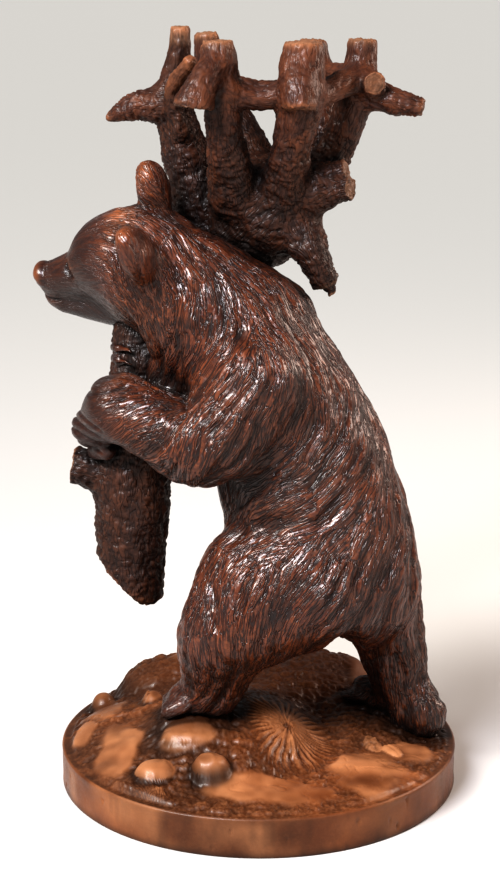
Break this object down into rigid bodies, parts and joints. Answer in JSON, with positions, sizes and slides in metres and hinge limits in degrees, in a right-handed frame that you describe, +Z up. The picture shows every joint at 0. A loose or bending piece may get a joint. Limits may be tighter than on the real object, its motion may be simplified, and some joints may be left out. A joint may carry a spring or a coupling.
{
  "type": "carved wooden bear",
  "caption": "Carved wooden bear standing upright, hugging a lopped forked tree that it carries over its shoulder, on a round turned base with rocky ground.",
  "frame": {"origin": "centre of the base's flat underside", "axes": "-Y the way the bear faces, +X the bear's left, +Z up from the underside to the crown of the tree"},
  "size_m": [0.407, 0.4273, 0.76],
  "materials": {
    "stained_linden": "dark reddish brown stain under worn satin varnish"
  },
  "bodies": {
    "root": {"carved_bear": "stained_linden"}
  },
  "joints": []
}
